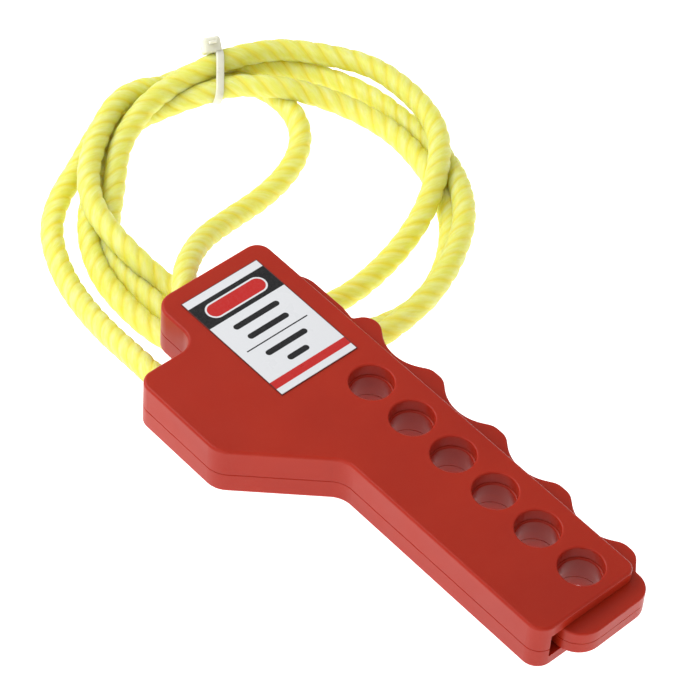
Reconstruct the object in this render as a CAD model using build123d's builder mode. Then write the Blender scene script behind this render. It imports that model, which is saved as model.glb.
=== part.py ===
from build123d import *
from math import cos, pi, radians, sin, tan
import os

# Cable lockout hasp: two moulded covers, a scalloped squeeze lever between them, six padlock
# holes, and a rope whose ends go into the head. The device lies with its head on its own rope,
# so its own plane is tilted. Device axes: U from head to tail, V towards the lever, W up.

# Device: overall
THICKNESS = 15.0
PLATE = 3.6
WALL = 2.4
SEAM = 6.4
EDGE = 0.8
SEAM_CHAMFER = 0.2
TILT = 5.0

# Device: outline in U and V, measured from the first padlock hole
HEAD_END = -54.8
TAIL_END = 84.0
LEVER_SIDE = 10.3
HANDLE_SIDE = -21.9
HEAD_SIDE = -25.4
STEP_END = -37.5
BELLY_SIDE = -44.8
BELLY_END = -7.0
NECK = 14.9

# Padlock holes
HOLE_PITCH = 15.0
HOLE_COUNT = 6
COVER_HOLE_R = 5.75
LEVER_HOLE_R = 5.35
RIM = 0.5

# Lever
LEVER_THICKNESS = 7.4
LEVER_GAP = 0.2
LEVER_INNER = -14.4
LEVER_OUTER = 13.2
LEVER_EDGE = 0.5
HEEL = -3.4
TAB_END = 89.7
TAB_SIDE = 11.6
HUB_R = 8.4
PIVOT = (-36.5, 5.5)
BUMP_TOPS = [17.35, 17.35, 16.8, 16.25, 15.7]
BUMP_PITCH = 23.5
BUMP_START = -17.4
BUMP_HALF = 2.2
BUMP_DEPTH = 6.9
SHOULDER_R = 4.5
VALLEY_R = 12.0
HOLE_ROUND = 0.5
LOWER_STEP = 8.6
PARTING_DEPTH = 0.15
PARTING_HEIGHT = 0.25

# Pivot
PIN_R = 2.5
PIN_CLEARANCE = 0.05
PIN_SEAT = 2.2
HUB_CLEARANCE = 0.35

# Rope, its ports and its clamp
ROPE_R = 3.0
MID = THICKNESS / 2
CLAMP_V = -19.6
FIXED_V = -36.4
PORT_R = 3.4
PORT_A = (-15.6, 10.8, 7.2)
JAW_START = -31.0
JAW_LENGTH = 18.0
JAW_TEETH = 7
TOOTH = 0.7
JAW_GAP = 0.3
ANVIL_DEPTH = 3.6
FERRULE_R = 3.8
FERRULE_SPAN = (-26.0, -12.0)
SLEEVE_R = 3.6
SLEEVE_SPAN = (-11.0, -3.0)
END_A = -31.2
END_B = -27.4

# Posts that locate one cover in the other, and ribs as (low U, low V, high U, high V): the stop of
# the opening lever, the rope channel's side, the backing of the fixed jaw, and the ferrule's pocket
POSTS = [(-49.0, 4.0), (-33.5, -41.0), (-4.0, -31.0), (21.0, -18.2), (50.0, -18.2), (78.0, -18.2)]
POST_R = 1.2
SPIGOT_R = 0.6
SPIGOT_GAP = 0.1
RIBS = [
    (-46.0, -9.4, -42.0, -5.1),
    (-40.5, -16.3, -35.5, -15.2),
    (-32.5, -28.2, -11.5, -26.7),
    (-28.2, -42.2, -26.2, -39.9),
    (-28.2, -32.9, -26.2, -30.6),
    (-11.8, -41.4, -10.2, -31.4),
]

# Label
LABEL_SIZE = (39.0, 25.2)
LABEL_CENTRE = (-30.1, -7.8)
LABEL_THICKNESS = 0.2

# Row frame: the device's footprint is centred on X and Y, and its lowest edge is at Z = 0
CENTRE_U = 17.62
CENTRE_V = -13.77
SLOPE = radians(TILT)
LIFT = (TAIL_END - EDGE) * sin(SLOPE) + EDGE * (1 - cos(SLOPE))
DEVICE = Plane(
    origin=(-CENTRE_U, -CENTRE_V, LIFT),
    x_dir=(cos(SLOPE), 0, -sin(SLOPE)),
    z_dir=(sin(SLOPE), 0, cos(SLOPE)),
)
DEVICE_UP = Axis(DEVICE.origin, DEVICE.z_dir)

LEVER_LOW = PLATE + LEVER_GAP
LID = THICKNESS - PLATE
HOLES = [(HOLE_PITCH * i, 0) for i in range(HOLE_COUNT)]

os.makedirs("parts", exist_ok=True)

# --- outlines in the device's own plane -------------------------------------------------------

with BuildSketch() as outline:
    with BuildLine():
        FilletPolyline(
            (HEAD_END, LEVER_SIDE),
            (TAIL_END, LEVER_SIDE),
            (TAIL_END, HANDLE_SIDE),
            (NECK, HANDLE_SIDE),
            (BELLY_END, BELLY_SIDE),
            (STEP_END, BELLY_SIDE),
            (STEP_END, HEAD_SIDE),
            (HEAD_END, HEAD_SIDE),
            radius=[4.2, 3.2, 4.6, 7.0, 7.0, 4.2, 5.2, 5.4],
            close=True,
        )
    make_face()

# The side walls end at an arc round the pivot, and at the tail beside the lever's tab.
SLOT_START = PIVOT[0]
SLOT_TAIL_LOW = -18.0
with BuildSketch() as cavity:
    add(outline.sketch)
    offset(amount=-WALL)
    with Locations(PIVOT):
        Circle(HUB_R + HUB_CLEARANCE)
    with Locations((SLOT_START, LEVER_INNER)):
        Rectangle(TAIL_END - SLOT_START + 10, 40, align=(Align.MIN, Align.MIN))
    with Locations((TAIL_END - 2 * WALL, SLOT_TAIL_LOW)):
        Rectangle(20, 40, align=(Align.MIN, Align.MIN))

bump_points = []
bump_radii = []
for i, top in enumerate(BUMP_TOPS):
    middle = BUMP_START + BUMP_PITCH * i
    bump_points += [(middle - BUMP_HALF, top), (middle + BUMP_HALF, top)]
    bump_radii += [SHOULDER_R, SHOULDER_R]
    if i < len(BUMP_TOPS) - 1:
        level = (top + BUMP_TOPS[i + 1]) / 2
        bump_points.append((middle + BUMP_PITCH / 2, level - BUMP_DEPTH))
        bump_radii.append(VALLEY_R)

with BuildSketch() as lever_outline:
    with BuildLine():
        FilletPolyline(
            (PIVOT[0] - HUB_R, HEEL),
            (-39.5, HEEL),
            (-33.5, LEVER_INNER),
            (TAB_END + 0.1, LEVER_INNER),
            (TAB_END - 0.5, TAB_SIDE),
            (82.6, TAB_SIDE),
            *reversed(bump_points),
            (-21.6, LEVER_OUTER),
            (-26.0, PIVOT[1] + HUB_R),
            (PIVOT[0] - HUB_R, PIVOT[1] + HUB_R),
            radius=[1.5, 2.5, 2.0, 7.0, 5.6, 1.0, *reversed(bump_radii), 0.8, 3.0, HUB_R],
            close=True,
        )
    make_face()

with BuildSketch() as ribs:
    for low_u, low_v, high_u, high_v in RIBS:
        with Locations(((low_u + high_u) / 2, (low_v + high_v) / 2)):
            Rectangle(high_u - low_u, high_v - low_v)


def across(u, v=0.0, w=MID):
    """A plane across the device's U axis, with its own X along V and its own Y along W."""
    return Plane(
        origin=DEVICE.from_local_coords((u, v, w)), x_dir=DEVICE.y_dir, z_dir=DEVICE.x_dir
    )


# --- covers -----------------------------------------------------------------------------------

with BuildPart() as ports:
    with BuildSketch(across(HEAD_END - 1, PORT_A[0])):
        RectangleRounded(PORT_A[1], PORT_A[2], PORT_A[2] / 2 - 0.1)
    extrude(amount=WALL + 2)
    with BuildSketch(across(STEP_END - 1, FIXED_V)):
        Circle(PORT_R)
    extrude(amount=WALL + 2)

with BuildPart() as top_cover:
    with BuildSketch(DEVICE.offset(SEAM)):
        add(outline.sketch)
    extrude(amount=THICKNESS - SEAM)
    fillet(top_cover.faces().sort_by(DEVICE_UP)[-1].edges(), EDGE)
    chamfer(top_cover.faces().sort_by(DEVICE_UP)[0].edges(), SEAM_CHAMFER)
    with BuildSketch(DEVICE.offset(SEAM)):
        add(cavity.sketch)
    extrude(amount=LID - SEAM, mode=Mode.SUBTRACT)
    with BuildSketch(DEVICE.offset(SEAM)):
        add(ribs.sketch)
        with Locations(POSTS):
            Circle(POST_R)
    extrude(amount=LID - SEAM)
    with BuildSketch(DEVICE.offset(PLATE + 1)):
        with Locations(POSTS):
            Circle(SPIGOT_R)
    extrude(amount=SEAM - PLATE - 1)
    with BuildSketch(DEVICE.offset(LID)):
        with Locations(HOLES):
            Circle(COVER_HOLE_R)
    extrude(amount=PLATE, mode=Mode.SUBTRACT)
    with BuildSketch(DEVICE.offset(LID)):
        with Locations(PIVOT):
            Circle(PIN_R)
    extrude(amount=PIN_SEAT, mode=Mode.SUBTRACT)
    rims = top_cover.faces().sort_by(DEVICE_UP)[-1].inner_wires()
    fillet([edge for wire in rims for edge in wire.edges()], RIM)
    add(ports.part, mode=Mode.SUBTRACT)
top_cover.part.label = "top_cover"
export_step(top_cover.part, "parts/top_cover.step")

with BuildPart() as bottom_cover:
    with BuildSketch(DEVICE):
        add(outline.sketch)
    extrude(amount=SEAM)
    fillet(bottom_cover.faces().sort_by(DEVICE_UP)[0].edges(), EDGE)
    chamfer(bottom_cover.faces().sort_by(DEVICE_UP)[-1].edges(), SEAM_CHAMFER)
    with BuildSketch(DEVICE.offset(PLATE)):
        add(cavity.sketch)
    extrude(amount=SEAM - PLATE, mode=Mode.SUBTRACT)
    with BuildSketch(DEVICE.offset(PLATE)):
        add(ribs.sketch)
        with Locations(POSTS):
            Circle(POST_R)
            Circle(SPIGOT_R + SPIGOT_GAP, mode=Mode.SUBTRACT)
    extrude(amount=SEAM - PLATE)
    with BuildSketch(DEVICE):
        with Locations(HOLES):
            Circle(COVER_HOLE_R)
    extrude(amount=PLATE, mode=Mode.SUBTRACT)
    with BuildSketch(DEVICE.offset(PLATE - PIN_SEAT)):
        with Locations(PIVOT):
            Circle(PIN_R)
    extrude(amount=PIN_SEAT, mode=Mode.SUBTRACT)
    rims = bottom_cover.faces().sort_by(DEVICE_UP)[0].inner_wires()
    fillet([edge for wire in rims for edge in wire.edges()], RIM)
    add(ports.part, mode=Mode.SUBTRACT)
bottom_cover.part.label = "bottom_cover"
export_step(bottom_cover.part, "parts/bottom_cover.step")

with BuildPart() as label:
    with BuildSketch(DEVICE.offset(THICKNESS)):
        with Locations(LABEL_CENTRE):
            Rectangle(*LABEL_SIZE)
    extrude(amount=LABEL_THICKNESS)
label.part.label = "label"
export_step(label.part, "parts/label.step")

# --- lever and pivot --------------------------------------------------------------------------

JAW_SEAT = LEVER_INNER + 2.0
with BuildPart() as lever:
    with BuildSketch(DEVICE.offset(LEVER_LOW)):
        add(lever_outline.sketch)
    extrude(amount=LEVER_THICKNESS)
    flats = lever.faces().sort_by(DEVICE_UP)
    fillet([*flats[0].edges(), *flats[-1].edges()], LEVER_EDGE)
    with BuildSketch(DEVICE.offset(LEVER_LOW)):
        with Locations((JAW_START, JAW_SEAT)):
            Rectangle(JAW_LENGTH, 10, align=(Align.MIN, Align.MAX))
        with Locations(HOLES):
            Circle(LEVER_HOLE_R)
        with Locations(PIVOT):
            Circle(PIN_R + PIN_CLEARANCE)
    extrude(amount=LEVER_THICKNESS, mode=Mode.SUBTRACT)
    with BuildSketch(DEVICE.offset(LEVER_LOW)):
        with Locations(HOLES):
            Circle(COVER_HOLE_R)
    extrude(amount=THICKNESS - LOWER_STEP - LEVER_LOW, mode=Mode.SUBTRACT)
    rims = lever.faces().sort_by(DEVICE_UP)[-1].edges().filter_by(GeomType.CIRCLE)
    fillet([e for e in rims if abs(e.radius - LEVER_HOLE_R) < 0.01], HOLE_ROUND)
    with BuildSketch(DEVICE.offset(MID - PARTING_HEIGHT / 2)):
        add(lever_outline.sketch)
        offset(lever_outline.sketch, amount=-PARTING_DEPTH, mode=Mode.SUBTRACT)
    extrude(amount=PARTING_HEIGHT, mode=Mode.SUBTRACT)
lever.part.label = "lever"
export_step(lever.part, "parts/lever.step")

with BuildPart() as pivot_pin:
    with BuildSketch(DEVICE.offset(PLATE - PIN_SEAT)):
        with Locations(PIVOT):
            Circle(PIN_R)
    extrude(amount=LID - PLATE + 2 * PIN_SEAT)
pivot_pin.part.label = "pivot_pin"
export_step(pivot_pin.part, "parts/pivot_pin.step")


def toothed(tip, back):
    """The outline of a jaw along U, with its teeth at V = tip and its flat back at V = back."""
    root = tip + (TOOTH if back > tip else -TOOTH)
    pitch = JAW_LENGTH / JAW_TEETH
    points = [(JAW_START, back), (JAW_START, root)]
    for tooth in range(JAW_TEETH):
        points.append((JAW_START + pitch * (tooth + 0.5), tip))
        points.append((JAW_START + pitch * (tooth + 1), root))
    points.append((JAW_START + JAW_LENGTH, back))
    return points


with BuildPart() as lever_jaw:
    with BuildSketch(DEVICE.offset(LEVER_LOW)):
        with BuildLine():
            Polyline(*toothed(CLAMP_V + ROPE_R + JAW_GAP, JAW_SEAT), close=True)
        make_face()
    extrude(amount=LEVER_THICKNESS)
lever_jaw.part.label = "lever_jaw"
export_step(lever_jaw.part, "parts/lever_jaw.step")

with BuildPart() as fixed_jaw:
    with BuildSketch(DEVICE.offset(PLATE)):
        with BuildLine():
            face = CLAMP_V - ROPE_R - JAW_GAP
            Polyline(*toothed(face, face - ANVIL_DEPTH), close=True)
        make_face()
    extrude(amount=LID - PLATE)
fixed_jaw.part.label = "fixed_jaw"
export_step(fixed_jaw.part, "parts/fixed_jaw.step")

# --- rope inside the head ---------------------------------------------------------------------

with BuildPart() as rope_end_a:
    with BuildSketch(across(END_A, CLAMP_V)):
        Circle(ROPE_R)
    extrude(amount=SLEEVE_SPAN[1] - 1 - END_A)
rope_end_a.part.label = "rope_end_a"
export_step(rope_end_a.part, "parts/rope_end_a.step")

with BuildPart() as rope_end_sleeve:
    with BuildSketch(across(SLEEVE_SPAN[0], CLAMP_V)):
        Circle(SLEEVE_R)
    extrude(amount=SLEEVE_SPAN[1] - SLEEVE_SPAN[0])
    with BuildSketch(across(SLEEVE_SPAN[0], CLAMP_V)):
        Circle(ROPE_R)
    extrude(amount=SLEEVE_SPAN[1] - 1 - SLEEVE_SPAN[0], mode=Mode.SUBTRACT)
rope_end_sleeve.part.label = "rope_end_sleeve"
export_step(rope_end_sleeve.part, "parts/rope_end_sleeve.step")

with BuildPart() as rope_end_b:
    with BuildSketch(across(END_B, FIXED_V)):
        Circle(ROPE_R)
    extrude(amount=FERRULE_SPAN[1] - END_B)
rope_end_b.part.label = "rope_end_b"
export_step(rope_end_b.part, "parts/rope_end_b.step")

with BuildPart() as rope_ferrule:
    with BuildSketch(across(FERRULE_SPAN[0], FIXED_V)):
        Circle(FERRULE_R)
        Circle(ROPE_R, mode=Mode.SUBTRACT)
    extrude(amount=FERRULE_SPAN[1] - FERRULE_SPAN[0])
rope_ferrule.part.label = "rope_ferrule"
export_step(rope_ferrule.part, "parts/rope_ferrule.step")

# --- free rope --------------------------------------------------------------------------------

# Routes in the row frame, in millimetres, from inside each port to the coil.
ROUTE_A = [
    DEVICE.from_local_coords((END_A, CLAMP_V, MID)),
    DEVICE.from_local_coords((-42.5, CLAMP_V, MID)),
    DEVICE.from_local_coords((-52.9, -16.1, MID)),
    DEVICE.from_local_coords((-61.8, -9.2, MID)),
    (-87.5, 14.0, 15.4),
    (-95.4, 25.4, 10.2),
    (-99.8, 38.9, 5.8),
    (-102.3, 51.0, 3.5),
    (-105.3, 62.2, 3.0),
    (-110.3, 72.1, 3.0),
    (-117.9, 79.3, 3.0),
    (-127.7, 82.8, 3.1),
    (-137.1, 82.1, 3.7),
]
ROUTE_B = [
    DEVICE.from_local_coords((END_B, FIXED_V, MID)),
    DEVICE.from_local_coords((-41.0, FIXED_V, MID)),
    (-71.2, -19.9, 14.8),
    (-83.7, -16.9, 10.4),
    (-96.7, -13.6, 6.9),
    (-109.7, -9.5, 4.3),
    (-122.1, -4.2, 3.1),
    (-132.2, 2.0, 3.0),
    (-140.2, 11.5, 3.0),
    (-146.0, 23.0, 3.2),
]


def bend_radii(route):
    """The arc at each corner: 0.45 of its shorter run, over the tangent of half its turn."""
    points = [Vector(*p) for p in route]
    radii = []
    for before, corner, after in zip(points, points[1:], points[2:]):
        turn = radians((corner - before).get_angle(after - corner))
        run = min((corner - before).length, (after - corner).length)
        radii.append(0.45 * run / tan(turn / 2))
    return radii


def report_tube(name, part, path):
    section = pi * ROPE_R**2
    print(name, "volume", round(part.volume), "section x length", round(section * path.length))


with BuildPart() as rope_tail_a:
    with BuildLine() as path_a:
        FilletPolyline(*ROUTE_A, radius=bend_radii(ROUTE_A))
    with BuildSketch(Plane(path_a.wires()[0] ^ 0)):
        Circle(ROPE_R)
    sweep(path=path_a.wires()[0])
rope_tail_a.part.label = "rope_tail_a"
export_step(rope_tail_a.part, "parts/rope_tail_a.step")

with BuildPart() as rope_tail_b:
    with BuildLine() as path_b:
        FilletPolyline(*ROUTE_B, radius=bend_radii(ROUTE_B))
    with BuildSketch(Plane(path_b.wires()[0] ^ 0)):
        Circle(ROPE_R)
    sweep(path=path_b.wires()[0])
rope_tail_b.part.label = "rope_tail_b"
export_step(rope_tail_b.part, "parts/rope_tail_b.step")

print("radii a", [round(r, 1) for r in bend_radii(ROUTE_A)])
print("radii b", [round(r, 1) for r in bend_radii(ROUTE_B)])
report_tube("tail a", rope_tail_a.part, path_a.wires()[0])
report_tube("tail b", rope_tail_b.part, path_b.wires()[0])

# The three loops are one ring. It is lower where the head lies on it, and waisted in the tie.
COIL_HEIGHT = 11.9
COIL_OUTER = [
    (-158.6, 66.0),
    (-161.4, 53.0),
    (-159.0, 39.5),
    (-150.2, 25.5),
    (-130.0, 9.0),
    (-107.5, -4.0),
    (-80.0, -6.2),
    (-53.5, 3.0),
    (-38.5, 27.5),
    (-35.6, 46.0),
    (-43.0, 71.5),
    (-61.5, 93.0),
    (-88.0, 107.5),
    (-112.5, 111.7),
    (-135.0, 105.0),
    (-150.5, 87.5),
]
COIL_INNER = [
    (-144.4, 64.0),
    (-144.8, 52.0),
    (-138.5, 33.0),
    (-121.3, 14.2),
    (-103.0, 11.2),
    (-84.0, 12.8),
    (-69.0, 21.0),
    (-62.5, 34.0),
    (-63.2, 55.0),
    (-70.5, 77.0),
    (-86.0, 91.0),
    (-104.0, 94.2),
    (-124.0, 89.0),
    (-137.0, 79.0),
]
HEAD_CLEARANCE = 0.25
TIE_AT = (-147.3, 72.4, 7.6)
TIE_ACROSS = (-0.8445, 0.5355, 0)
TIE_ALONG_ROPE = (0.5199, 0.8198, -0.24)
TIE_STRANDS = [(-0.9, -3.5), (-0.5, 4.6), (-6.9, 0.3), (3.8, -0.8)]
TIE_STRAND_R = 3.05
TIE_WIDTH = 2.2
TIE_THICKNESS = 1.0
TIE_HEAD = (3.15, 8.3)
TIE_HEAD_SIZE = (4.2, 5.6)
TIE_HEAD_TURN = 45
TIE_HEAD_WIDTH = 5.0
TIE_HEAD_ALONG = -1.8
WAIST = TIE_HEAD_WIDTH / 2 - TIE_HEAD_ALONG + 0.3
TIE = Plane(origin=TIE_AT, x_dir=TIE_ACROSS, z_dir=TIE_ALONG_ROPE)

with BuildSketch() as bundle:
    with Locations(TIE_STRANDS):
        Circle(TIE_STRAND_R)
    make_hull()

with BuildPart() as rope_coil:
    with BuildSketch():
        with BuildLine():
            Spline(*COIL_OUTER, periodic=True)
        make_face()
        with BuildLine():
            Spline(*COIL_INNER, periodic=True)
        make_face(mode=Mode.SUBTRACT)
    extrude(amount=COIL_HEIGHT)
    with BuildSketch(DEVICE.offset(-HEAD_CLEARANCE)):
        add(outline.sketch)
        offset(amount=1.5)
    extrude(amount=COIL_HEIGHT * 2, mode=Mode.SUBTRACT)
    with BuildSketch(TIE):
        Rectangle(40, 40)
    extrude(amount=WAIST, both=True, mode=Mode.SUBTRACT)
    with BuildSketch(TIE):
        add(bundle.sketch)
    extrude(amount=WAIST + 0.4, both=True)
rope_coil.part.label = "rope_coil"
export_step(rope_coil.part, "parts/rope_coil.step")

with BuildPart() as cable_tie:
    with BuildSketch(TIE):
        add(bundle.sketch)
        offset(amount=TIE_THICKNESS)
    extrude(amount=TIE_WIDTH / 2, both=True)
    with BuildSketch(TIE.offset(TIE_HEAD_ALONG)):
        with Locations(TIE_HEAD):
            Rectangle(*TIE_HEAD_SIZE, rotation=TIE_HEAD_TURN)
    extrude(amount=TIE_HEAD_WIDTH / 2, both=True)
    with BuildSketch(TIE):
        add(bundle.sketch)
    extrude(amount=TIE_HEAD_WIDTH, both=True, mode=Mode.SUBTRACT)
cable_tie.part.label = "cable_tie"
export_step(cable_tie.part, "parts/cable_tie.step")
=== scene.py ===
"""A cable lockout: a red moulded body, a scalloped lever and a yellow laid rope wound into loops."""
import math

import bmesh
import bpy
from mathutils import Matrix, Vector


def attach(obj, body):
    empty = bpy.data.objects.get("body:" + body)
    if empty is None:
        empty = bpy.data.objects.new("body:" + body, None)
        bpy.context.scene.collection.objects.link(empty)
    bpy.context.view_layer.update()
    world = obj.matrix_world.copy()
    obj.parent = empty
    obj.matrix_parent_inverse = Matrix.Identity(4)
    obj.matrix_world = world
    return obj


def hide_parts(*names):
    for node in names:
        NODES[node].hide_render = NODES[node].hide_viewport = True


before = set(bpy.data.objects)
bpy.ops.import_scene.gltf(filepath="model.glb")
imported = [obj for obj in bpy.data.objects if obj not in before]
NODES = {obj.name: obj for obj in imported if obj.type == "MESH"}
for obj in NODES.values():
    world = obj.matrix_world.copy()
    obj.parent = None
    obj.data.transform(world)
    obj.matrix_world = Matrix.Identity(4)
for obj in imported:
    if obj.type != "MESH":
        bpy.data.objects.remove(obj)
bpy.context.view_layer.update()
MM = 0.001

# ---------------------------------------------------------------- the body's own axes
# The body leans on its rope: u runs from head to tail, v across it, w through its thickness.
TILT = math.radians(5)
THICKNESS = 15
EDGE = 0.8
TAIL_END = 84
CENTRE_U = 17.62
CENTRE_V = -13.77
BODY_U = Vector((math.cos(TILT), 0, -math.sin(TILT)))
BODY_V = Vector((0, 1, 0))
BODY_W = Vector((math.sin(TILT), 0, math.cos(TILT)))
LIFT = (TAIL_END - EDGE) * math.sin(TILT) + EDGE * (1 - math.cos(TILT))
BODY_ORIGIN = Vector((-CENTRE_U, -CENTRE_V, LIFT)) * MM


def device(u, v, w):
    """A point of the body in the row frame, in mm."""
    return (BODY_ORIGIN + (BODY_U * u + BODY_V * v + BODY_W * w) * MM) / MM


# ---------------------------------------------------------------- camera
scene = bpy.context.scene
CAMERA_AT = Vector((428.55, -391.85, 622.18)) * MM
LOOKS_AT = Vector((-45.28, 32.50, 0)) * MM
FOCAL_LENGTH = 175.6
SENSOR_WIDTH = 36
camera_data = bpy.data.cameras.new("camera")
camera_data.lens = FOCAL_LENGTH
camera_data.sensor_width = SENSOR_WIDTH
camera_data.clip_start = 0.01
camera = bpy.data.objects.new("camera", camera_data)
scene.collection.objects.link(camera)
camera.location = CAMERA_AT
camera.rotation_mode = "QUATERNION"
VIEW = (LOOKS_AT - CAMERA_AT).normalized()
camera.rotation_quaternion = VIEW.to_track_quat("-Z", "Y")
scene.camera = camera

# ---------------------------------------------------------------- the rope's route, in mm
ROPE_RADIUS = 3
MID = THICKNESS / 2
CLAMP_V = -19.6
FIXED_V = -36.4
LEAVES_A = [
    tuple(device(-31.2, CLAMP_V, MID)), tuple(device(-42.5, CLAMP_V, MID)),
    tuple(device(-52.9, -16.1, MID)), tuple(device(-61.8, -9.2, MID)),
    (-87.5, 14, 15.4), (-95.4, 25.4, 10.2), (-99.8, 38.9, 5.8), (-102.3, 51, 3.5),
    (-105.3, 62.2, 3), (-110.3, 72.1, 3), (-117.9, 79.3, 3), (-127.7, 82.8, 3.1), (-137.1, 82.1, 3.7),
]
UNDER_TIE_FROM_A = [(-143.2, 78.7, 4.1), (-146.2, 72.8, 4.2)]
OUTER_PASS = [
    (-148.7, 67.8, 4.2), (-152.4, 62.6, 5), (-155.2, 56.6, 7), (-156.2, 50.3, 8),
    (-155.1, 44.4, 8.5), (-151.9, 37.9, 8.8), (-147.6, 31.6, 9), (-143, 25.5, 9),
    (-137.3, 19.5, 9), (-131.4, 15.1, 9), (-123.2, 11, 9), (-113.6, 8.7, 9), (-103.5, 8, 8),
    (-97.3, 8.9, 5.6), (-92, 10.3, 3.6), (-81, 11.3, 3), (-71.5, 15.8, 3), (-64, 23.5, 3),
    (-60, 32.5, 3),
]
FIRST_LOOP = [
    (-58.6, 43, 3), (-59.7, 53.3, 3), (-61.9, 65, 4), (-65.5, 76.2, 6), (-70.3, 85, 8),
    (-76.9, 93.7, 9), (-85.3, 101.1, 9), (-94.1, 105.2, 9), (-105.6, 107.5, 8.8),
    (-120, 107.7, 8.5), (-132.3, 100.7, 8.8), (-140.9, 92.8, 9.6), (-143.8, 84.9, 10.9),
    (-145.1, 78.7, 11.9), (-146.2, 73.3, 12.2),
]
INNER_PASS = [
    (-147.5, 67.9, 11.5), (-149.2, 62, 10.1), (-149.6, 55.8, 9.2), (-148.5, 49.4, 8.8),
    (-146.6, 43.9, 8.1), (-144, 37.8, 7), (-140.4, 32.3, 6), (-135.1, 26.9, 5), (-130, 22, 4),
    (-124.8, 16.4, 3.2), (-118, 10.5, 3), (-109.3, 6.2, 3), (-100, 4.8, 3), (-89.3, 3.5, 3),
    (-79, 3.4, 3), (-69, 6, 3), (-59.5, 11.8, 3), (-52.2, 20.5, 3), (-47.5, 30, 3),
]
SECOND_LOOP = [
    (-44.6, 39.5, 3), (-42.6, 49.7, 3), (-44, 59.5, 3), (-48.4, 68.5, 3), (-54.1, 76.2, 3),
    (-60.8, 82.9, 3), (-68.3, 88.1, 3), (-76.8, 91.9, 3), (-87, 95, 3), (-99, 97, 3),
    (-111, 95.2, 4), (-121, 90, 6.2), (-128.6, 82.9, 8.8), (-134.4, 77.5, 8.8), (-139.4, 72.3, 8.6),
    (-142.8, 66.3, 7.4),
]
LOW_PASS = [
    (-146.5, 60.9, 5.5), (-149.5, 55.3, 3.6), (-150.9, 49, 3), (-150.6, 42.5, 3), (-148, 35.6, 3),
    (-143.4, 29, 3), (-138, 22.7, 3), (-131.3, 15, 3), (-126.5, 10.6, 3), (-119.4, 5.4, 3),
    (-108.4, 0.1, 3), (-97.1, -2.3, 3), (-86, -3, 3), (-80, -2.5, 3), (-67.6, -0.7, 3),
    (-55.6, 6.3, 3), (-46.1, 17.3, 3.3), (-41.1, 29.8, 4.5),
]
THIRD_LOOP = [
    (-38.9, 42.5, 6.5), (-40.5, 56.3, 8), (-45.2, 67.8, 8), (-52.2, 78.8, 8), (-58, 85.4, 8),
    (-66.8, 92.2, 6), (-76.1, 97.6, 4), (-85.5, 101.2, 3), (-94.1, 102.3, 3), (-102.5, 102.5, 3),
    (-112, 102.8, 3), (-122.4, 101.2, 3), (-132.3, 97.4, 3.2), (-140.5, 91.4, 4), (-146, 83.6, 5.6),
    (-149.4, 76.3, 7.4),
]
UNDER_TIE_TO_B = [
    (-153.1, 69.9, 5.7), (-156.8, 63, 3.2), (-158.6, 55.2, 3), (-158.2, 47.2, 3), (-156, 40.2, 3),
    (-152.6, 33.6, 3),
]
RETURNS_B = [
    (-146, 23, 3.2), (-140.2, 11.5, 3), (-132.2, 2, 3), (-122.1, -4.2, 3.1), (-109.7, -9.5, 4.3),
    (-96.7, -13.6, 6.9), (-83.7, -16.9, 10.4), (-71.2, -19.9, 14.8),
    tuple(device(-41, FIXED_V, MID)), tuple(device(-27.4, FIXED_V, MID)),
]
ROUTE = (
    LEAVES_A + UNDER_TIE_FROM_A + OUTER_PASS + FIRST_LOOP + INNER_PASS + SECOND_LOOP
    + LOW_PASS + THIRD_LOOP + UNDER_TIE_TO_B + RETURNS_B
)


# ---------------------------------------------------------------- material helpers
def link(tree, a, b):
    """Joins output a to input b."""
    tree.links.new(a, b)


def material(name, colour, roughness, **sockets):
    """A Principled material with its constants on the shader's own sockets, its tree and its shader."""
    made = bpy.data.materials.new(name)
    made.use_nodes = True
    shader = made.node_tree.nodes["Principled BSDF"]
    shader.inputs["Base Color"].default_value = (*colour, 1)
    shader.inputs["Roughness"].default_value = roughness
    for socket, value in sockets.items():
        shader.inputs[socket.replace("_", " ")].default_value = value
    return made, made.node_tree, shader


def node(tree, kind, **settings):
    """A new node with its settings made."""
    made = tree.nodes.new(kind)
    for key, value in settings.items():
        setattr(made, key, value)
    return made


def sum_up(tree, operation, a, b=None, c=None):
    """The result of a Math node. Each value is a number or another node's output."""
    made = node(tree, "ShaderNodeMath", operation=operation)
    for slot, value in enumerate((a, b, c)):
        if value is None:
            continue
        if isinstance(value, (int, float)):
            made.inputs[slot].default_value = value
        else:
            link(tree, value, made.inputs[slot])
    return made.outputs[0]


def mix(tree, factor, a, b):
    """Colour a where factor is 0, b where it is 1."""
    made = node(tree, "ShaderNodeMix", data_type="RGBA")
    for slot, value in ((0, factor), (6, a), (7, b)):
        if isinstance(value, (int, float)):
            made.inputs[slot].default_value = value
        elif isinstance(value, tuple):
            made.inputs[slot].default_value = (*value, 1)
        else:
            link(tree, value, made.inputs[slot])
    return made.outputs[2]


def noise(tree, where, scale, detail, roughness):
    """A noise value of about 0 to 1 at each point."""
    made = node(tree, "ShaderNodeTexNoise")
    made.inputs["Scale"].default_value = scale
    made.inputs["Detail"].default_value = detail
    made.inputs["Roughness"].default_value = roughness
    link(tree, where, made.inputs["Vector"])
    return made.outputs["Fac"]


def spread(tree, value, low, high, to_low, to_high):
    """The value with low to high stretched over to_low to to_high, and held between them."""
    made = node(tree, "ShaderNodeMapRange")
    link(tree, value, made.inputs["Value"])
    for slot, number in zip(("From Min", "From Max", "To Min", "To Max"),
                            (low, high, to_low, to_high)):
        made.inputs[slot].default_value = number
    return made.outputs["Result"]


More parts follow.
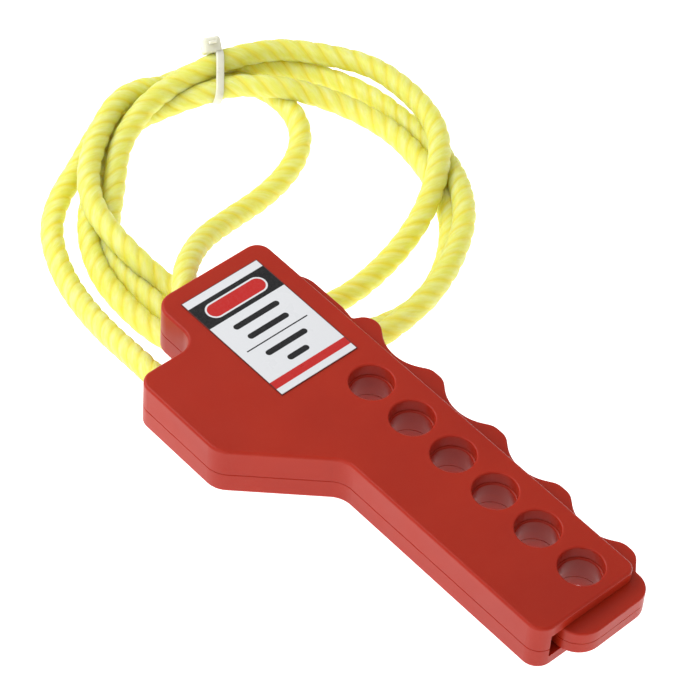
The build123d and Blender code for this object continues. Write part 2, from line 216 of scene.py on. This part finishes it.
def bump(tree, shader, height, strength, distance, after=None):
    """Relief from height, on top of the relief after where there is one."""
    made = node(tree, "ShaderNodeBump")
    made.inputs["Strength"].default_value = strength
    made.inputs["Distance"].default_value = distance
    link(tree, height, made.inputs["Height"])
    if after is not None:
        link(tree, after, made.inputs["Normal"])
    link(tree, made.outputs["Normal"], shader.inputs["Normal"])
    return made.outputs["Normal"]


def place(tree):
    """Object coordinates, which are the row frame in metres."""
    return node(tree, "ShaderNodeTexCoord").outputs["Object"]


def along(tree, where, direction):
    """The distance of a point along one of the body's axes, in mm."""
    moved = node(tree, "ShaderNodeVectorMath", operation="SUBTRACT")
    link(tree, where, moved.inputs[0])
    moved.inputs[1].default_value = BODY_ORIGIN
    dotted = node(tree, "ShaderNodeVectorMath", operation="DOT_PRODUCT")
    link(tree, moved.outputs[0], dotted.inputs[0])
    dotted.inputs[1].default_value = direction / MM
    return dotted.outputs["Value"]


def moulded_red(name, colour, deeper, roughness):
    """Satin moulded plastic: faint flow clouding, a fine spark-eroded grain and shallow sink."""
    made, tree, shader = material(name, colour, roughness)
    where = place(tree)
    clouds = noise(tree, where, 28, 3, 0.55)
    tone = mix(tree, spread(tree, clouds, 0.35, 0.68, 0, 1), colour, deeper)
    speck = noise(tree, where, 2600, 1, 0.5)
    tone = mix(tree, spread(tree, speck, 0.62, 0.8, 0, 0.1), tone, (0.48, 0.07, 0.05))
    link(tree, tone, shader.inputs["Base Color"])
    handled = noise(tree, where, 75, 4, 0.6)
    link(tree, spread(tree, handled, 0.3, 0.72, roughness - 0.05, roughness + 0.07),
         shader.inputs["Roughness"])
    sink = noise(tree, where, 55, 1, 0.4)
    first = bump(tree, shader, sink, 0.10, 0.0006)
    grain = noise(tree, where, 1900, 3, 0.6)
    bump(tree, shader, grain, 0.10, 0.00008, first)
    shader.inputs["Specular IOR Level"].default_value = 0.21
    shader.inputs["Subsurface Weight"].default_value = 0.3
    shader.inputs["Subsurface Scale"].default_value = 1.0
    shader.inputs["Subsurface Radius"].default_value = (0.003, 0.0006, 0.0003)
    return made


def metal(name, colour, roughness, grain_scale, strength):
    """Bare metal with a grain drawn out along the row frame's Z."""
    made, tree, shader = material(name, colour, roughness, Metallic=1.0)
    where = place(tree)
    stretched = node(tree, "ShaderNodeMapping")
    stretched.inputs["Scale"].default_value = (1, 1, 0.12)
    link(tree, where, stretched.inputs["Vector"])
    grain = noise(tree, stretched.outputs["Vector"], grain_scale, 4, 0.6)
    tone = mix(tree, grain, tuple(0.82 * c for c in colour), colour)
    link(tree, tone, shader.inputs["Base Color"])
    link(tree, spread(tree, grain, 0.3, 0.7, roughness - 0.08, roughness + 0.1),
         shader.inputs["Roughness"])
    bump(tree, shader, grain, strength, 0.0001)
    return made


# ---------------------------------------------------------------- the printed label
# All in mm along the body: u down the label, v across it.
LABEL_U = (-49.6, -10.6)
LABEL_V = (-20.4, 4.8)
LABEL_MIDDLE = (LABEL_V[0] + LABEL_V[1]) / 2
PRINT_EDGE = 0.05
BAND_U = (-46.9, -38.5)
PILL_AT = (-42.7, LABEL_MIDDLE)
PILL_HALF_LENGTH = 6.9
PILL_RADIUS = 2.75
PILL_RING = 0.5
STRIP_U = (-15.5, -12.9)
BAR_RADIUS = 0.9
BARS = ((-34.9, 7.4), (-30.3, 6.6), (-23.3, 6.7), (-18.8, 3.4))
RULE_U = (-27.05, -26.65)
RULE_INSET = 2.6
CUT_EDGE = 0.22


def between(tree, value, low, high):
    """1 between low and high, with an edge as sharp as print."""
    rise = spread(tree, value, low - PRINT_EDGE, low + PRINT_EDGE, 0, 1)
    fall = spread(tree, value, high - PRINT_EDGE, high + PRINT_EDGE, 1, 0)
    return sum_up(tree, "MULTIPLY", rise, fall)


def stadium(tree, u, v, centre, half_length, radius):
    """The distance in mm from a bar with round ends that runs along v, less than 0 inside it."""
    across = sum_up(tree, "SUBTRACT", u, centre[0])
    beyond = sum_up(tree, "SUBTRACT", v, centre[1])
    beyond = sum_up(tree, "ABSOLUTE", beyond)
    beyond = sum_up(tree, "SUBTRACT", beyond, half_length)
    beyond = sum_up(tree, "MAXIMUM", beyond, 0.0)
    squared = sum_up(tree, "ADD", sum_up(tree, "MULTIPLY", across, across),
                     sum_up(tree, "MULTIPLY", beyond, beyond))
    return sum_up(tree, "SUBTRACT", sum_up(tree, "SQRT", squared), radius)


def inside(tree, distance):
    """1 where the distance is less than 0, with an edge as sharp as print."""
    return spread(tree, distance, -PRINT_EDGE, PRINT_EDGE, 1, 0)


def printed_label():
    """A printed film: a black band with a ringed red bar, plain dark bars, a rule and a red strip."""
    white = (0.7, 0.71, 0.73)
    black = (0.006, 0.006, 0.007)
    red = (0.5, 0.014, 0.012)
    dark_edge = (0.1, 0.02, 0.018)
    worn_ink = (0.45, 0.45, 0.45)
    made, tree, shader = material("label_film", white, 0.3)
    where = place(tree)
    u = along(tree, where, BODY_U)
    v = along(tree, where, BODY_V)
    tone = mix(tree, between(tree, u, *BAND_U), white, black)
    pill = stadium(tree, u, v, PILL_AT, PILL_HALF_LENGTH, PILL_RADIUS)
    tone = mix(tree, inside(tree, pill), tone, white)
    pill_red = sum_up(tree, "ADD", pill, PILL_RING)
    tone = mix(tree, inside(tree, pill_red), tone, red)
    tone = mix(tree, between(tree, u, *STRIP_U), tone, red)
    for bar_u, half_length in BARS:
        bar = stadium(tree, u, v, (bar_u, LABEL_MIDDLE), half_length - BAR_RADIUS, BAR_RADIUS)
        tone = mix(tree, inside(tree, bar), tone, black)
    rule = between(tree, u, *RULE_U)
    rule = sum_up(tree, "MULTIPLY", rule,
                  between(tree, v, LABEL_V[0] + RULE_INSET, LABEL_V[1] - RULE_INSET))
    tone = mix(tree, rule, tone, black)
    printed = sum_up(tree, "MULTIPLY",
                     between(tree, u, LABEL_U[0] + CUT_EDGE, LABEL_U[1] - CUT_EDGE),
                     between(tree, v, LABEL_V[0] + CUT_EDGE, LABEL_V[1] - CUT_EDGE))
    tone = mix(tree, printed, dark_edge, tone)
    ink = noise(tree, where, 1500, 3, 0.6)
    tone = mix(tree, spread(tree, ink, 0.4, 0.75, 0, 0.03), tone, worn_ink)
    link(tree, tone, shader.inputs["Base Color"])
    film = noise(tree, where, 160, 3, 0.5)
    link(tree, spread(tree, film, 0.3, 0.7, 0.24, 0.36), shader.inputs["Roughness"])
    bump(tree, shader, film, 0.05, 0.0003)
    shader.inputs["Coat Weight"].default_value = 0.06
    shader.inputs["Specular IOR Level"].default_value = 0.3
    shader.inputs["Coat Roughness"].default_value = 0.2
    return made


# ---------------------------------------------------------------- rope and nylon
# LAY is one turn of the strands, CROWN and GROOVE how far they reach from the middle line, in mm.
LAY = 16.5
STRANDS = 3
CROWN = 3.22
GROOVE = 2.86
YARN_LEAN = 0.9 / LAY


def rope_yarn(name):
    """Laid polypropylene: drawn fibres along each strand, pale streaks of painted highlight, and
    painted shade in the grooves between strands.
    """
    bright = (0.69, 0.695, 0.115)
    # Painted highlight: a lighter, greener yellow laid on the yarns.
    pale_highlight = (0.73, 0.755, 0.31)
    # The painted shade colour of the grooves between strands; it also darkens the fine fibre streaks at
    # random.
    groove_shade_and_fibre = (0.71, 0.645, 0.055)
    made, tree, shader = material(name, bright, 0.5)
    chart = node(tree, "ShaderNodeUVMap", uv_map="UVMap").outputs["UV"]
    parts = node(tree, "ShaderNodeSeparateXYZ")
    link(tree, chart, parts.inputs[0])
    length, turn = parts.outputs[0], parts.outputs[1]
    leaning = sum_up(tree, "MULTIPLY_ADD", length, YARN_LEAN, turn)

    def drawn(across, along_rope, detail):
        """Noise in long streaks that lean with the yarns."""
        at = node(tree, "ShaderNodeCombineXYZ")
        link(tree, sum_up(tree, "MULTIPLY", leaning, across), at.inputs[0])
        link(tree, sum_up(tree, "MULTIPLY", length, along_rope), at.inputs[1])
        return noise(tree, at.outputs[0], 1.0, detail, 0.6)

    highlight_patches = drawn(3.2, 0.22, 2)
    yarns = drawn(11.0, 0.25, 2)
    fibres = drawn(38.0, 0.5, 3)
    # 0 on a strand's crown, 1 in the groove at either side of it, where the painted groove shade is
    # strongest
    groove_shade_mask = sum_up(tree, "FRACT", turn)
    groove_shade_mask = sum_up(tree, "ABSOLUTE", sum_up(tree, "SUBTRACT", groove_shade_mask, 0.5))
    groove_shade_mask = spread(tree, groove_shade_mask, 0.22, 0.5, 0, 1)
    # Painted highlights: pale patches and yarn streaks, scattered at random along the lay.
    tone = mix(tree, spread(tree, highlight_patches, 0.42, 0.66, 0, 0.75), bright, pale_highlight)
    tone = mix(tree, spread(tree, yarns, 0.45, 0.7, 0, 0.55), tone, pale_highlight)
    # Painted shade: the grooves between strands are darkened towards a deeper orange.
    tone = mix(tree, groove_shade_mask, tone, groove_shade_and_fibre)
    tone = mix(tree, spread(tree, fibres, 0.55, 0.8, 0, 0.3), tone, groove_shade_and_fibre)
    link(tree, tone, shader.inputs["Base Color"])
    link(tree, spread(tree, yarns, 0.3, 0.7, 0.4, 0.58), shader.inputs["Roughness"])
    first = bump(tree, shader, yarns, 0.5, 0.0004)
    bump(tree, shader, fibres, 0.35, 0.00015, first)
    shader.inputs["Subsurface Weight"].default_value = 0.85
    shader.inputs["Subsurface Scale"].default_value = 1.0
    shader.inputs["Subsurface Radius"].default_value = (0.009, 0.0075, 0.001)
    shader.inputs["Sheen Weight"].default_value = 0.12
    shader.inputs["Sheen Roughness"].default_value = 0.4
    shader.inputs["Sheen Tint"].default_value = (1.0, 0.98, 0.6, 1)
    return made


def plain_yarn(name):
    """The rope's two ends inside the head, which the covers hide."""
    made, tree, shader = material(name, (0.82, 0.78, 0.1), 0.55)
    where = place(tree)
    twisted = node(tree, "ShaderNodeMapping")
    twisted.inputs["Rotation"].default_value = (0, 0, 0.75)
    twisted.inputs["Scale"].default_value = (0.25, 1, 1)
    link(tree, where, twisted.inputs["Vector"])
    yarns = noise(tree, twisted.outputs["Vector"], 1400, 3, 0.6)
    link(tree, mix(tree, yarns, (0.66, 0.52, 0.05), (0.9, 0.88, 0.2)), shader.inputs["Base Color"])
    bump(tree, shader, yarns, 0.5, 0.0003)
    return made


def nylon(name, colour, transmission):
    """Natural nylon: milky, with faint cloud and drawn streaks."""
    made, tree, shader = material(name, colour, 0.32)
    where = place(tree)
    cloud = noise(tree, where, 420, 3, 0.55)
    link(tree, mix(tree, spread(tree, cloud, 0.3, 0.7, 0, 1), tuple(0.9 * c for c in colour), colour),
         shader.inputs["Base Color"])
    link(tree, spread(tree, cloud, 0.3, 0.7, 0.26, 0.4), shader.inputs["Roughness"])
    streaks = noise(tree, where, 1300, 2, 0.5)
    bump(tree, shader, streaks, 0.05, 0.0001)
    shader.inputs["Subsurface Weight"].default_value = 0.6
    shader.inputs["Subsurface Scale"].default_value = 1.0
    shader.inputs["Subsurface Radius"].default_value = (0.002, 0.002, 0.0018)
    shader.inputs["Transmission Weight"].default_value = transmission
    shader.inputs["IOR"].default_value = 1.53
    return made


# ---------------------------------------------------------------- the rope
def new_object(name, data, body="housing"):
    """A piece of this script that moves with one CAD body."""
    made = bpy.data.objects.new(name, data)
    scene.collection.objects.link(made)
    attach(made, body)
    return made


def smooth_line(points, steps):
    """Points of the smooth spline that the route's points pull into shape, in metres."""
    curve = bpy.data.curves.new("route", "CURVE")
    curve.dimensions = "3D"
    curve.resolution_u = steps
    spline = curve.splines.new("NURBS")
    spline.points.add(len(points) - 1)
    for control, (x, y, z) in zip(spline.points, points):
        control.co = (x * MM, y * MM, z * MM, 1)
    spline.order_u = 3
    spline.use_endpoint_u = True
    holder = bpy.data.objects.new("route", curve)
    scene.collection.objects.link(holder)
    depsgraph = bpy.context.evaluated_depsgraph_get()
    line = bpy.data.meshes.new_from_object(holder.evaluated_get(depsgraph))
    found = [v.co.copy() for v in line.vertices]
    bpy.data.objects.remove(holder)
    bpy.data.meshes.remove(line)
    bpy.data.curves.remove(curve)
    return found


def tangents_of(line):
    """The line's direction at each of its points."""
    last = len(line) - 1
    return [(line[min(i + 1, last)] - line[max(i - 1, 0)]).normalized() for i in range(last + 1)]


def carried_normals(tangents):
    """Normals that turn no more than the line does."""
    normal = tangents[0].orthogonal().normalized()
    carried = [normal]
    for before, after in zip(tangents, tangents[1:]):
        normal = before.rotation_difference(after) @ normal
        normal = (normal - after * normal.dot(after)).normalized()
        carried.append(normal)
    return carried


def distances(line):
    """How far along the line each of its points is."""
    run = [0.0]
    for a, b in zip(line, line[1:]):
        run.append(run[-1] + (b - a).length)
    return run


# Where a strand's points are: its crown is at 0, and the grooves beside it are at -1 and 1.
STRAND_STEPS = (-0.9, -0.75, -0.55, -0.3, 0.0, 0.3, 0.55, 0.75, 0.9, 1.0)
# The power by which a strand falls away from its crown to a groove.
ROUNDNESS = 2.4
# How the lay wanders (in radians) and the strands swell, each with its waves in radians per metre.
WANDER, WANDER_WAVES = 0.12, 61
QUIVER, QUIVER_WAVES = 0.07, 173
SWELL, SWELL_WAVES = 0.012, 240


def add_laid_rope(bm, chart, line, tangents, normals, run):
    """One closed skin round the line: three lobes, the strands, that wind along it to the right."""
    shape = []
    for strand in range(STRANDS):
        for step in STRAND_STEPS:
            reach = CROWN - (CROWN - GROOVE) * abs(step) ** ROUNDNESS
            shape.append((strand + 0.5 + step / 2, reach * MM))
    rings = []
    for centre, tangent, normal, s in zip(line, tangents, normals, run):
        side = tangent.cross(normal)
        wound = (2 * math.pi * s / (LAY * MM) + WANDER * math.sin(s * WANDER_WAVES)
                 + QUIVER * math.sin(s * QUIVER_WAVES))
        ring = []
        for turn, reach in shape:
            angle = wound + 2 * math.pi * turn / STRANDS
            swell = 1 + SWELL * math.sin(s * SWELL_WAVES + 2 * math.floor(turn))
            way = normal * math.cos(angle) + side * math.sin(angle)
            ring.append(bm.verts.new(centre + way * reach * swell))
        rings.append(ring)
    around = len(shape)
    for i in range(len(rings) - 1):
        for k in range(around):
            after = (k + 1) % around
            near, far = rings[i], rings[i + 1]
            face = bm.faces.new((near[k], far[k], far[after], near[after]))
            face.smooth = True
            first = shape[k][0]
            second = shape[after][0] if after else first + (1 + STRAND_STEPS[0]) / 2
            spots = ((i, first), (i + 1, first), (i + 1, second), (i, second))
            for loop, spot in zip(face.loops, spots):
                loop[chart].uv = (run[spot[0]] / MM, spot[1])
    bm.faces.new(rings[0])
    bm.faces.new(list(reversed(rings[-1])))


ROUTE_STEPS = 14
CENTRELINE = smooth_line(ROUTE, ROUTE_STEPS)
LINE_TANGENTS = tangents_of(CENTRELINE)
LINE_NORMALS = carried_normals(LINE_TANGENTS)
LINE_RUN = distances(CENTRELINE)
rope_mesh = bpy.data.meshes.new("rope")
builder = bmesh.new()
uv_layer = builder.loops.layers.uv.new("UVMap")
add_laid_rope(builder, uv_layer, CENTRELINE, LINE_TANGENTS, LINE_NORMALS, LINE_RUN)
bmesh.ops.recalc_face_normals(builder, faces=builder.faces)
builder.to_mesh(rope_mesh)
builder.free()
rope = new_object("rope", rope_mesh)
rope.data.materials.append(rope_yarn("rope_yarn"))
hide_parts("rope_coil", "rope_tail_a", "rope_tail_b")

# ---------------------------------------------------------------- the cable tie
TIE_AT = Vector((-147.3, 72.4, 7.6)) * MM
TIE_NORMAL = Vector((0.52, 0.82, -0.24)).normalized()
TIE_ACROSS = Vector((0, 0, 1)).cross(TIE_NORMAL).normalized()
TIE_UP = TIE_NORMAL.cross(TIE_ACROSS)
# Sizes in mm. TIE_NEAR is how far from the tie a pass of the rope still counts as inside it.
TIE_NEAR = 20
STRAP_WIDTH = 2.2
STRAP_THICKNESS = 1.0
STRAP_ROUNDING = 0.3
STRAP_GAP = 0.05
STRAP_POINTS = 96
CIRCLE_STEP = 6
CORNER_STEPS = 3
HEAD_TOWARDS = Vector((0.70, 0.71)).normalized()
HEAD_LEAN = math.radians(15)
HEAD_SIZE = (5.2, 4.6, 5.6)
HEAD_BEVEL = 0.9
HEAD_ALONG = -1.8
STUB_SIZE = (2.3, 0.9, 1.6)
STUB_BEVEL = 0.25
STUB_OUT = 0.6
STUB_PAST = 0.6


def crossings():
    """Where the rope passes through the plane of the tie, as (across, up) from its middle."""
    found = []
    for a, b in zip(CENTRELINE, CENTRELINE[1:]):
        before = (a - TIE_AT).dot(TIE_NORMAL)
        after = (b - TIE_AT).dot(TIE_NORMAL)
        if before * after > 0 or (a - TIE_AT).length > TIE_NEAR * MM:
            continue
        share = before / (before - after) if before != after else 0
        point = a.lerp(b, share) - TIE_AT
        found.append((point.dot(TIE_ACROSS), point.dot(TIE_UP)))
    return found


def hull(points):
    """The convex outline round the points, anticlockwise."""
    points = sorted(set(points))

    def half(ordered):
        """The lower half of the outline, or the upper one when the points come backwards."""
        kept = []
        for p in ordered:
            while len(kept) > 1 and (
                (kept[-1][0] - kept[-2][0]) * (p[1] - kept[-2][1])
                - (kept[-1][1] - kept[-2][1]) * (p[0] - kept[-2][0])
            ) <= 0:
                kept.pop()
            kept.append(p)
        return kept[:-1]

    return half(points) + half(points[::-1])


def even(loop, count):
    """The closed outline again, as points an equal distance apart."""
    closed = loop + loop[:1]
    run = [0.0]
    for a, b in zip(closed, closed[1:]):
        run.append(run[-1] + math.dist(a, b))
    spaced = []
    at = 0
    for k in range(count):
        target = run[-1] * k / count
        while run[at + 1] < target:
            at += 1
        share = (target - run[at]) / (run[at + 1] - run[at])
        a, b = closed[at], closed[at + 1]
        spaced.append((a[0] + (b[0] - a[0]) * share, a[1] + (b[1] - a[1]) * share))
    return spaced


def tie_point(across, up, along_rope=0.0):
    """A point by the tie in the row frame, in metres."""
    return TIE_AT + TIE_ACROSS * across + TIE_UP * up + TIE_NORMAL * along_rope


TIE_CROSSINGS = crossings()
REACH = (ROPE_RADIUS + STRAP_GAP + STRAP_THICKNESS / 2) * MM
round_each = [
    (a + REACH * math.cos(math.radians(t)), b + REACH * math.sin(math.radians(t)))
    for a, b in TIE_CROSSINGS for t in range(0, 360, CIRCLE_STEP)
]
STRAP_LINE = even(hull(round_each), STRAP_POINTS)


def rounded_section(width, thickness, radius):
    """A flat strap's section with round corners, as (along the rope, outwards)."""
    corners = []
    for sx, sy, start in ((1, 1, 0), (-1, 1, 90), (-1, -1, 180), (1, -1, 270)):
        for k in range(CORNER_STEPS + 1):
            turn = math.radians(start + 90 * k / CORNER_STEPS)
            corners.append((
                sx * (width / 2 - radius) + radius * math.cos(turn),
                sy * (thickness / 2 - radius) + radius * math.sin(turn),
            ))
    return corners


def add_strap(bm):
    """The smooth strap round the bundle."""
    section = rounded_section(STRAP_WIDTH, STRAP_THICKNESS, STRAP_ROUNDING)
    rings = []
    count = len(STRAP_LINE)
    for k, (across, up) in enumerate(STRAP_LINE):
        before = Vector(STRAP_LINE[k - 1])
        after = Vector(STRAP_LINE[(k + 1) % count])
        way = (after - before).normalized()
        outward = Vector((way.y, -way.x))
        ring = []
        for x, y in section:
            lift = y * MM
            point = tie_point(across + outward.x * lift, up + outward.y * lift, x * MM)
            ring.append(bm.verts.new(point))
        rings.append(ring)
    size = len(section)
    for k in range(count):
        a, b = rings[k], rings[(k + 1) % count]
        for j in range(size):
            face = bm.faces.new((a[j], a[(j + 1) % size], b[(j + 1) % size], b[j]))
            face.smooth = True


def add_block(bm, middle, axes, size, bevel):
    """A moulded block with rounded edges. axes are its three directions, size its full lengths."""
    made = bmesh.ops.create_cube(bm, size=1)
    corners = made["verts"]
    turn = Matrix([[a[r] for a in axes] for r in range(3)])
    for vert in corners:
        local = Vector([c * s for c, s in zip(vert.co, size)])
        vert.co = middle + turn @ local
    edges = list({e for v in corners for e in v.link_edges})
    bmesh.ops.bevel(bm, geom=edges, offset=bevel, segments=3, profile=0.5, affect="EDGES")


tie_mesh = bpy.data.meshes.new("tie")
builder = bmesh.new()
add_strap(builder)
head_spot = max(STRAP_LINE, key=lambda p: Vector(p).dot(HEAD_TOWARDS))
FROM_BUNDLE = (TIE_ACROSS * HEAD_TOWARDS.x + TIE_UP * HEAD_TOWARDS.y).normalized()
ROUND = TIE_NORMAL.cross(FROM_BUNDLE)
ALONG = TIE_NORMAL * math.cos(HEAD_LEAN) + FROM_BUNDLE * math.sin(HEAD_LEAN)
OUT = FROM_BUNDLE * math.cos(HEAD_LEAN) - TIE_NORMAL * math.sin(HEAD_LEAN)
HEAD_AXES = (ALONG, OUT, ROUND)
head_rise = OUT * (HEAD_SIZE[1] - STRAP_THICKNESS) / 2
head_middle = tie_point(*head_spot) + (ALONG * HEAD_ALONG + head_rise) * MM
add_block(builder, head_middle, HEAD_AXES, [s * MM for s in HEAD_SIZE], HEAD_BEVEL * MM)
stub_middle = head_middle + OUT * STUB_OUT * MM + ROUND * (HEAD_SIZE[2] / 2 + STUB_PAST) * MM
add_block(builder, stub_middle, HEAD_AXES, [s * MM for s in STUB_SIZE], STUB_BEVEL * MM)
bmesh.ops.recalc_face_normals(builder, faces=builder.faces)
builder.to_mesh(tie_mesh)
builder.free()
tie = new_object("tie", tie_mesh)
tie.data.materials.append(nylon("tie_nylon", (0.8, 0.79, 0.66), 0.0))
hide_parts("cable_tie")

# ---------------------------------------------------------------- materials on the CAD nodes
COVER_RED = (0.385, 0.021, 0.0065)
FINISHES = {
    "top_cover": moulded_red("cover_red", COVER_RED, (0.345, 0.017, 0.0055), 0.38),
    "lever": moulded_red("lever_red", (0.39, 0.021, 0.0065), (0.35, 0.018, 0.0055), 0.36),
    "label": printed_label(),
    "pivot_pin": metal("ground_steel", (0.58, 0.58, 0.6), 0.28, 2200, 0.12),
    "lever_jaw": metal("cast_jaw", (0.68, 0.68, 0.7), 0.42, 900, 0.35),
    "rope_ferrule": metal("pressed_ferrule", (0.7, 0.7, 0.72), 0.35, 1300, 0.2),
    "rope_end_a": plain_yarn("yarn_in_clamp"),
    "rope_end_sleeve": nylon("clear_sleeve", (0.88, 0.88, 0.84), 0.6),
}
FINISHES["bottom_cover"] = FINISHES["top_cover"]
FINISHES["fixed_jaw"] = FINISHES["lever_jaw"]
FINISHES["rope_end_b"] = FINISHES["rope_end_a"]
for name, finish in FINISHES.items():
    data = NODES[name].data
    data.materials.clear()
    data.materials.append(finish)

# ---------------------------------------------------------------- floor, light
# In metres. The floor shines by itself, so that it renders white.
FLOOR_HALF = 4
FLOOR_DROP = 0.0002
floor_mesh = bpy.data.meshes.new("floor")
builder = bmesh.new()
bmesh.ops.create_grid(builder, x_segments=1, y_segments=1, size=FLOOR_HALF)
builder.to_mesh(floor_mesh)
builder.free()
floor = bpy.data.objects.new("floor", floor_mesh)
scene.collection.objects.link(floor)
floor.location = (0, 0, -FLOOR_DROP)
floor_white = material("floor_white", (0.35, 0.35, 0.35), 0.9, Emission_Strength=1.3,
                       Emission_Color=(1, 1, 1, 1))[0]
floor.data.materials.append(floor_white)

world = bpy.data.worlds.new("studio")
world.use_nodes = True
sky = world.node_tree.nodes["Background"]
sky.inputs["Color"].default_value = (1, 1, 1, 1)
sky.inputs["Strength"].default_value = 0.6
scene.world = world
scene.view_settings.view_transform = "Standard"


def softbox(name, at, towards, size, power):
    """A square area light. Places and size are in metres, power in watts."""
    data = bpy.data.lights.new(name, "AREA")
    data.shape = "SQUARE"
    data.size = size
    data.energy = power
    made = bpy.data.objects.new(name, data)
    scene.collection.objects.link(made)
    made.location = at
    made.rotation_mode = "QUATERNION"
    made.rotation_quaternion = (Vector(towards) - Vector(at)).to_track_quat("-Z", "Y")


softbox("key", (-0.42, -0.16, 0.52), (-0.06, 0.01, 0), 0.45, 2.7)
softbox("fill", (0.2, -0.95, 0.6), (-0.03, 0.02, 0), 0.8, 3.5)
